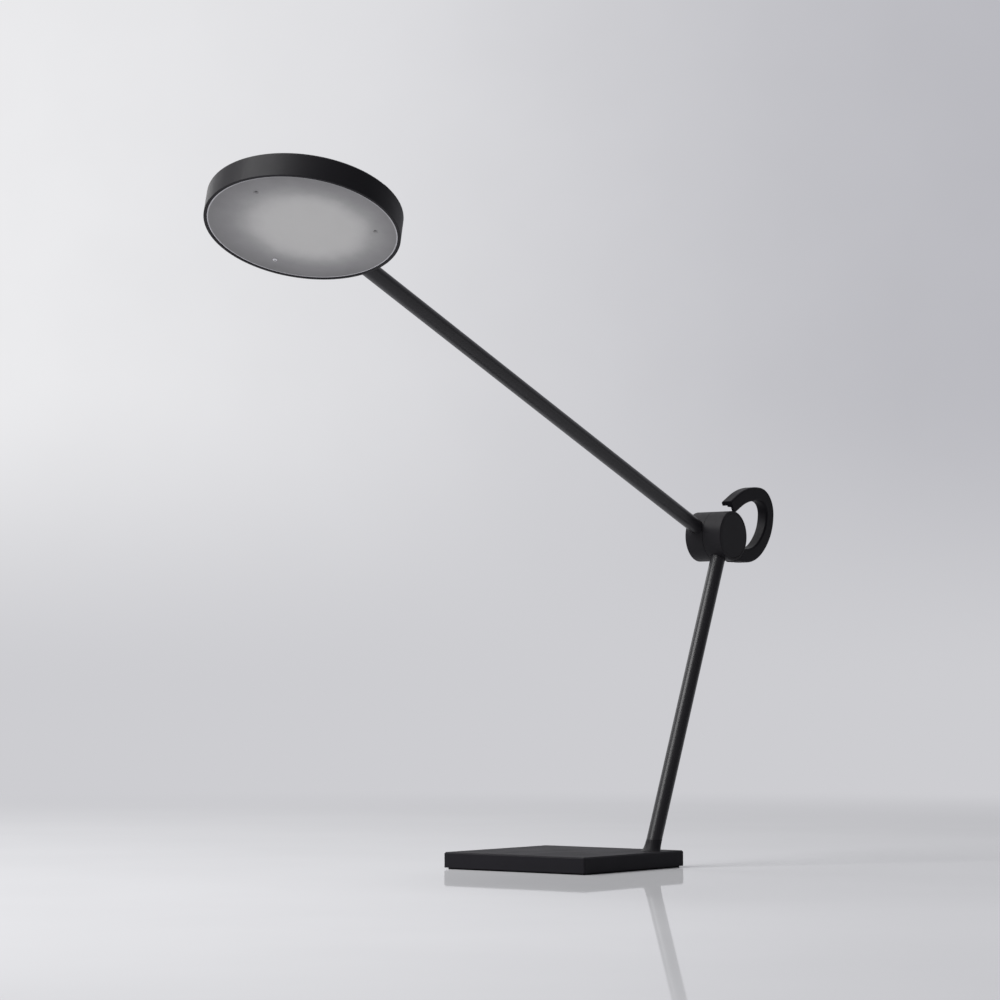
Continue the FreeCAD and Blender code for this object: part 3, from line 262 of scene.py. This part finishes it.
def blank_material(name, specular=0.5, coat=0.0, coat_roughness=0.3, metallic=0.0):
    material = bpy.data.materials.new(name)
    material.use_nodes = True
    shader = material.node_tree.nodes["Principled BSDF"]
    shader.inputs["Specular IOR Level"].default_value = specular
    shader.inputs["Coat Weight"].default_value = coat
    shader.inputs["Coat Roughness"].default_value = coat_roughness
    shader.inputs["Metallic"].default_value = metallic
    return material, material.node_tree, shader


def add_bump(tree, shader, height, strength, distance):
    bump = tree.nodes.new("ShaderNodeBump")
    bump.inputs["Strength"].default_value = strength
    bump.inputs["Distance"].default_value = distance
    tree.links.new(height, bump.inputs["Height"])
    tree.links.new(bump.outputs["Normal"], shader.inputs["Normal"])


def coated(
    name, colour, roughness, grain=1400.0, cloud=0.1, smudge=0.1, dust=0.0, bump=0.15, specular=0.5
):
    """Painted or moulded surface with a fine grain, and dust on it where it is in the open."""
    material, tree, shader = blank_material(name, specular)
    coat = place_group(
        tree, COAT, Colour=colour, Grain=grain, Cloud=cloud, Roughness=roughness, Smudge=smudge
    )
    settled = place_group(tree, DUST, Amount=dust)
    tree.links.new(coat.outputs["Colour"], settled.inputs["Colour"])
    tree.links.new(settled.outputs["Colour"], shader.inputs["Base Color"])
    tree.links.new(coat.outputs["Roughness"], shader.inputs["Roughness"])
    add_bump(tree, shader, coat.outputs["Height"], bump, GRAIN_DEPTH)
    return material


def turned(name, colour, roughness, lines=900.0, contrast=0.2, bump=0.2):
    """Bare metal with the lines that a lathe leaves."""
    material, tree, shader = blank_material(name, metallic=1.0)
    cut = place_group(tree, TURNED, Colour=colour, Lines=lines, Contrast=contrast, Roughness=roughness)
    tree.links.new(cut.outputs["Colour"], shader.inputs["Base Color"])
    tree.links.new(cut.outputs["Roughness"], shader.inputs["Roughness"])
    add_bump(tree, shader, cut.outputs["Height"], bump, TOOL_DEPTH)
    return material


def distance_from(tree, place, point):
    node = tree.nodes.new("ShaderNodeVectorMath")
    node.operation = "DISTANCE"
    node.inputs[1].default_value = point
    tree.links.new(place, node.inputs[0])
    return node.outputs["Value"]


def diffuser_material():
    """Frosted sheet with painted light: brighter over the open light chamber, and a paler edge that is a painted
    highlight.
    """
    material, tree, shader = blank_material("opal_sheet", specular=0.3)
    place = object_place(tree)
    mottle = noise(tree, place, 45.0, 4.0, 0.55)
    wobble = spread(tree, mottle, 0.3, 0.7, -0.002, 0.002)
    # Painted light: the sheet's colour is brightest round a point near its middle and darker outwards
    radius = math_node(tree, "ADD", distance_from(tree, place, HEAD + PAINTED_LIGHT_POOL_SHIFT), wobble)
    ramp = tree.nodes.new("ShaderNodeValToRGB")
    ramp.color_ramp.interpolation = "B_SPLINE"
    stops = ramp.color_ramp.elements
    for element, (position, colour) in zip(stops, (PAINTED_LIGHT_POOL[0], PAINTED_LIGHT_POOL[-1])):
        element.position = position
        element.color = colour
    for position, colour in PAINTED_LIGHT_POOL[1:-1]:
        stops.new(position).color = colour
    tree.links.new(spread(tree, radius, 0.0, PAINTED_LIGHT_POOL_R, 0.0, 1.0), ramp.inputs["Fac"])
    # Painted highlight: a paler ring along the sheet's edge
    edge = spread(tree, distance_from(tree, place, HEAD), LENS_HIGHLIGHT_IN, LENS_HIGHLIGHT_OUT, 0.0, 1.0)
    face = mix(tree, edge, ramp.outputs["Color"], LENS_EDGE_HIGHLIGHT)
    frost = noise(tree, place, 1800.0, 2.0)
    speck = spread(tree, frost, 0.3, 0.7, 0.985, 1.015)
    tree.links.new(shade_by(tree, face, speck), shader.inputs["Base Color"])
    tree.links.new(spread(tree, mottle, 0.3, 0.7, 0.46, 0.58), shader.inputs["Roughness"])
    add_bump(tree, shader, frost, 0.12, FROST_DEPTH)
    return material


FINISH = {
    "base_coat": coated(
        "base_coat", srgb(37, 36, 40), 0.6, grain=1100.0, dust=0.02, bump=0.25, specular=0.08
    ),
    "anthracite": coated("anthracite_coat", srgb(32, 31, 34), 0.5, dust=0.02, specular=0.13),
    "tube_coat": coated(
        "tube_coat", srgb(36, 35, 38), 0.34, grain=1600.0, smudge=0.05, dust=0.02, specular=0.36
    ),
    "hoop_black": coated("hoop_coat", srgb(22, 21, 25), 0.48, grain=1800.0, dust=0.02, specular=0.1),
    "pad_rubber": coated("pad_rubber", srgb(26, 26, 27), 0.8, grain=700.0, bump=0.5, specular=0.3),
    "socket_black": coated("moulded_black", srgb(22, 22, 23), 0.35, grain=2200.0, dust=0.03),
    "lead_sleeve": coated("lead_sleeve", srgb(24, 24, 25), 0.55, grain=900.0),
    "friction_lining": coated("fibre_lining", srgb(110, 86, 66), 0.75, grain=1600.0, cloud=0.3, bump=0.6),
    "board_white": coated("board_white", srgb(226, 226, 222), 0.4, grain=2000.0, cloud=0.03),
    "board_green": coated("board_green", srgb(28, 92, 56), 0.35, grain=2400.0, cloud=0.15),
    "led_chip": coated("led_phosphor", srgb(240, 214, 120), 0.3, grain=3000.0, cloud=0.05),
    "white_plastic": coated("reflector_white", srgb(232, 232, 228), 0.5, grain=1800.0, cloud=0.03),
    "component": coated("component_case", srgb(34, 34, 38), 0.3, grain=2600.0),
    "opal": diffuser_material(),
    "steel": turned("plated_steel", srgb(168, 169, 172), 0.32),
    "screw_steel": turned("polished_steel", srgb(206, 206, 208), 0.2, contrast=0.1, bump=0.1),
    "black_screw": turned("blackened_steel", srgb(52, 52, 54), 0.4, contrast=0.3),
    "bare_aluminium": turned("turned_aluminium", srgb(206, 207, 209), 0.35, lines=700.0),
    "brass": turned("contact_brass", srgb(196, 164, 92), 0.28),
    "bronze": turned("bearing_bronze", srgb(158, 116, 68), 0.4, contrast=0.35),
}


def give_finish(obj, material):
    obj.data.materials.clear()
    obj.data.materials.append(material)


# Nodes with another finish than their slot's
OWN_FINISH = {"arm_tube": "tube_coat", "post_tube": "tube_coat"}


def dress_nodes():
    for entry in frame["record"]["subparts"]:
        finish = OWN_FINISH.get(entry["node"], entry["material_slot"])
        give_finish(nodes[entry["node"]], FINISH[finish])


dress_nodes()


# New pieces. Sizes in millimetres, turned into metres as each shape is placed.

LENS_FACE = -11.25  # diffuser's face below the head's middle
LENS_SCREW_RING_R = 68.0
LENS_SCREW_PROUD = 0.6
LENS_SCREW_TURNS = (0, 120, 240)  # places round the head, in degrees from the arm
BUTTON_RING_R = 71.0
BUTTON_TURN = 150.0
HOOP_SCREW_SUNK = 0.00002  # metres
FACING_DOWN = Matrix.Rotation(math.pi, 4, "X")


def finish_piece(name, work, body, slot, replaced, finish=None):
    """Turn a finished bmesh in metres into a piece that rides on a body and stands for a node."""
    bmesh.ops.remove_doubles(work, verts=work.verts, dist=0.000002)
    bmesh.ops.recalc_face_normals(work, faces=work.faces)
    mesh = bpy.data.meshes.new(name)
    work.to_mesh(mesh)
    work.free()
    mesh.shade_smooth()
    mesh.set_sharp_from_angle(angle=math.radians(35))
    piece = bpy.data.objects.new(name, mesh)
    bpy.context.scene.collection.objects.link(piece)
    give_finish(piece, FINISH[finish or slot])
    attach(piece, body)
    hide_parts(replaced)
    return piece


def settle(work, place, verts):
    """Scale new vertices from millimetres and put them in place."""
    bmesh.ops.scale(work, vec=(MM, MM, MM), verts=verts)
    bmesh.ops.transform(work, matrix=place, verts=verts)


def lathe(work, profile, place, steps=72):
    """Closed body turned from (radius, height) points that start and end on the axis."""
    before = set(work.verts)
    points = [work.verts.new((radius, 0, height)) for radius, height in profile]
    edges = [work.edges.new(pair) for pair in zip(points, points[1:])]
    bmesh.ops.spin(
        work, geom=points + edges, cent=(0, 0, 0), axis=(0, 0, 1), angle=2 * math.pi, steps=steps,
        use_merge=True,
    )
    made = [vert for vert in work.verts if vert not in before]
    bmesh.ops.remove_doubles(work, verts=made, dist=0.001)
    settle(work, place, [vert for vert in work.verts if vert not in before])


def draw_out(work, loop, stretch, shift):
    """Extrude a loop of edges, stretch it across the axis and move it along; gives the new loop."""
    grown = bmesh.ops.extrude_edge_only(work, edges=loop)["geom"]
    verts = [item for item in grown if isinstance(item, bmesh.types.BMVert)]
    bmesh.ops.scale(work, vec=(stretch, stretch, 1), verts=verts)
    bmesh.ops.translate(work, vec=(0, 0, shift), verts=verts)
    ends = set(verts)
    return [item for item in grown if isinstance(item, bmesh.types.BMEdge) and set(item.verts) <= ends]


def socket_screw(work, place, head_r, key_r, key_deep, steps):
    """Screw that faces +z at height 0, with a six-sided key hole; steps go outwards and down."""
    before = set(work.verts)
    key = bmesh.ops.create_circle(work, segments=6, radius=key_r)["verts"]
    sides = list({edge for vert in key for edge in vert.link_edges})
    bmesh.ops.subdivide_edges(work, edges=sides, cuts=3)
    key_loop = [edge for edge in work.edges if edge.verts[0] not in before]
    floor_loop = draw_out(work, draw_out(work, key_loop, 0.97, -0.12), 1.0, 0.12 - key_deep)
    bmesh.ops.contextual_create(work, geom=floor_loop)
    inner = set(work.verts)
    rim = bmesh.ops.create_circle(work, segments=24, radius=head_r)["verts"]
    rim_loop = [edge for edge in work.edges if edge.verts[0] in set(rim) and edge.verts[0] not in inner]
    bmesh.ops.bridge_loops(work, edges=key_loop + rim_loop)
    radius = head_r
    height = 0.0
    loop = rim_loop
    for next_radius, next_height in steps:
        loop = draw_out(work, loop, next_radius / radius, next_height - height)
        radius, height = next_radius, next_height
    bmesh.ops.contextual_create(work, geom=loop)
    settle(work, place, [vert for vert in work.verts if vert not in before])


def round_head(radius, turn, height):
    """Place on the head at a radius and a turn from the arm."""
    angle = math.radians(turn)
    spot = Vector((radius * math.cos(angle), radius * math.sin(angle), height)) * MM
    return HEAD_FRAME @ Matrix.Translation(spot)


def diffuser_screws():
    work = bmesh.new()
    profile = ((1.85, -0.06), (2.15, -0.19), (2.33, -0.4), (2.38, -0.64), (1.25, -1.8), (1.25, -10.5))
    for turn in LENS_SCREW_TURNS:
        own_turn = Matrix.Rotation(math.radians(turn * 0.37 + 11), 4, "Z")
        place = round_head(LENS_SCREW_RING_R, turn, LENS_FACE - LENS_SCREW_PROUD) @ FACING_DOWN @ own_turn
        socket_screw(work, place, 1.5, 0.85, 0.9, profile)
    return finish_piece("diffuser_screw_set", work, "head", "steel", "diffuser_screws", "screw_steel")


def hoop_screws():
    work = bmesh.new()
    low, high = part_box("hoop_screws")
    head_r = (high.x - low.x) / 2 / MM
    profile = ((head_r - 0.05, -0.08), (head_r, -0.2), (1.5, -1.3), (1.5, -17.9))
    for y in (low.y + head_r * MM, high.y - head_r * MM):
        place = Matrix.Translation(((low.x + high.x) / 2, y, low.z + HOOP_SCREW_SUNK)) @ FACING_DOWN
        socket_screw(work, place, head_r - 0.25, 1.1, 1.4, profile)
    return finish_piece("hoop_screw_set", work, "post", "black_screw", "hoop_screws")


def push_button():
    """Round button with a shallow dish, a raised ring, and its flange and stem inside the head."""
    work = bmesh.new()
    profile = (
        (0, 13.16), (1.6, 13.18), (3.0, 13.26), (3.9, 13.38), (4.35, 13.5), (4.6, 13.57), (4.9, 13.6),
        (5.4, 13.6), (5.72, 13.54), (5.92, 13.36), (6.0, 13.12), (6.0, 9.9), (7.2, 9.9), (7.2, 8.9),
        (2.0, 8.9), (2.0, 5.6), (0, 5.6),
    )
    lathe(work, profile, round_head(BUTTON_RING_R, BUTTON_TURN, 0))
    return finish_piece("push_button", work, "button", "anthracite", "power_button")


diffuser_screws()
hoop_screws()
push_button()


# Room

LEFT = Vector((0.604, -0.797, 0.0))  # to the left as the camera sees it
FRONT = Vector((0.797, 0.604, 0.0))  # from the lamp towards the camera
CAMERA_PLACE = (2.554, 1.851, 0.181)
CAMERA_PITCH = 3.71  # degrees upwards
FLOOR_LOW = srgb(224, 224, 227)
FLOOR_HIGH = srgb(228, 228, 231)
FLOOR_R = 9.0
FADE_FROM = 0.9  # the floor turns into the backdrop between these two distances
FADE_TO = 2.6
KEY_POWER = 96.0
RIM_POWER = 12.0
AMBIENT = srgb(226, 227, 230)
AMBIENT_STRENGTH = 0.26
HORIZON = srgb(205, 205, 209)
WALL_LIGHT = srgb(236, 236, 238)
WALL_DIM = srgb(185, 185, 191)
DARK_ROOM = 0.22  # share of the backdrop that gloss sees of the room behind the camera


def dot_with(tree, vector, direction):
    node = tree.nodes.new("ShaderNodeVectorMath")
    node.operation = "DOT_PRODUCT"
    node.inputs[1].default_value = direction
    tree.links.new(vector, node.inputs[0])
    return node.outputs["Value"]


def smooth_step(tree, value, low, high):
    node = tree.nodes.new("ShaderNodeMapRange")
    node.interpolation_type = "SMOOTHSTEP"
    node.inputs["From Min"].default_value = low
    node.inputs["From Max"].default_value = high
    tree.links.new(value, node.inputs["Value"])
    return node.outputs["Result"]


def floor_material():
    """Pale satin floor that fades into the backdrop far from the lamp."""
    material, tree, shader = blank_material("floor_paint", specular=0.0, coat=0.52, coat_roughness=0.03)
    place = object_place(tree)
    speckle = spread(tree, noise(tree, place, 3.0, 3.0), 0.3, 0.7, 0.0, 1.0)
    tree.links.new(mix(tree, speckle, FLOOR_LOW, FLOOR_HIGH), shader.inputs["Base Color"])
    shader.inputs["Roughness"].default_value = 0.7
    away = tree.nodes.new("ShaderNodeVectorMath")
    away.operation = "LENGTH"
    tree.links.new(place, away.inputs[0])
    glow = tree.nodes.new("ShaderNodeEmission")
    glow.inputs["Color"].default_value = HORIZON
    blend = tree.nodes.new("ShaderNodeMixShader")
    tree.links.new(smooth_step(tree, away.outputs["Value"], FADE_FROM, FADE_TO), blend.inputs["Fac"])
    tree.links.new(shader.outputs["BSDF"], blend.inputs[1])
    tree.links.new(glow.outputs["Emission"], blend.inputs[2])
    tree.links.new(blend.outputs["Shader"], tree.nodes["Material Output"].inputs["Surface"])
    return material


def lay_floor():
    work = bmesh.new()
    bmesh.ops.create_circle(work, cap_ends=True, segments=96, radius=FLOOR_R)
    mesh = bpy.data.meshes.new("floor")
    work.to_mesh(mesh)
    work.free()
    sheet = bpy.data.objects.new("floor", mesh)
    bpy.context.scene.collection.objects.link(sheet)
    give_finish(sheet, floor_material())


def area_lamp(name, place, target, size, power):
    light = bpy.data.lights.new(name, "AREA")
    light.shape = "RECTANGLE"
    light.size, light.size_y = size
    light.energy = power
    lamp = bpy.data.objects.new(name, light)
    lamp.location = place
    lamp.rotation_euler = (target - place).to_track_quat("-Z", "Y").to_euler()
    bpy.context.scene.collection.objects.link(lamp)


def light_room():
    """A soft key lamp high on the left and a weak one behind that lights the rims."""
    middle = Vector((0.1, 0.0, 0.3))
    up = Vector((0, 0, 1))
    area_lamp("key", middle + LEFT * 1.7 + FRONT * 0.9 + up * 2.5, middle, (1.9, 1.9), KEY_POWER)
    area_lamp("rim", middle + LEFT * 1.4 - FRONT * 1.9 + up * 1.5, middle, (1.2, 1.6), RIM_POWER)


def backdrop():
    """World that lights softly and shows the camera and gloss a pale wall, lighter to the left."""
    world = bpy.data.worlds.new("studio")
    bpy.context.scene.world = world
    world.use_nodes = True
    tree = world.node_tree
    ambient = tree.nodes["Background"]
    ambient.inputs["Color"].default_value = AMBIENT
    ambient.inputs["Strength"].default_value = AMBIENT_STRENGTH
    look = tree.nodes.new("ShaderNodeTexCoord").outputs["Generated"]
    split = tree.nodes.new("ShaderNodeSeparateXYZ")
    tree.links.new(look, split.inputs["Vector"])
    up = smooth_step(tree, split.outputs["Z"], 0.0, 0.11)
    side = smooth_step(tree, dot_with(tree, look, LEFT), -0.2, 0.2)
    wall = mix(tree, side, WALL_DIM, WALL_LIGHT)
    cloud = spread(tree, noise(tree, look, 9.0, 4.0, 0.6), 0.3, 0.7, 0.975, 1.02)
    wall = mix(tree, up, HORIZON, shade_by(tree, wall, cloud))
    shown = tree.nodes.new("ShaderNodeBackground")
    tree.links.new(wall, shown.inputs["Color"])
    ray = tree.nodes.new("ShaderNodeLightPath")
    behind_camera = smooth_step(tree, dot_with(tree, look, FRONT - LEFT * 0.6), -0.5, 0.7)
    dark_room = math_node(tree, "MULTIPLY", behind_camera, ray.outputs["Is Glossy Ray"])
    tree.links.new(spread(tree, dark_room, 0.0, 1.0, 1.0, DARK_ROOM), shown.inputs["Strength"])
    seen = math_node(tree, "MAXIMUM", ray.outputs["Is Camera Ray"], ray.outputs["Is Glossy Ray"])
    seen = math_node(tree, "MAXIMUM", seen, ray.outputs["Is Transmission Ray"])
    blend = tree.nodes.new("ShaderNodeMixShader")
    tree.links.new(seen, blend.inputs["Fac"])
    tree.links.new(ambient.outputs["Background"], blend.inputs[1])
    tree.links.new(shown.outputs["Background"], blend.inputs[2])
    tree.links.new(blend.outputs["Shader"], tree.nodes["World Output"].inputs["Surface"])


def set_camera():
    pitch = math.radians(CAMERA_PITCH)
    camera = bpy.data.cameras.new("camera")
    camera.sensor_width = 36.0
    camera.sensor_fit = "HORIZONTAL"
    camera.lens = 108.0
    camera.clip_end = 60.0
    holder = bpy.data.objects.new("camera", camera)
    holder.location = CAMERA_PLACE
    forward = Vector((-FRONT.x * math.cos(pitch), -FRONT.y * math.cos(pitch), math.sin(pitch)))
    holder.rotation_euler = forward.to_track_quat("-Z", "Y").to_euler()
    bpy.context.scene.collection.objects.link(holder)
    bpy.context.scene.camera = holder


lay_floor()
light_room()
backdrop()
set_camera()
bpy.context.scene.view_settings.view_transform = "Standard"
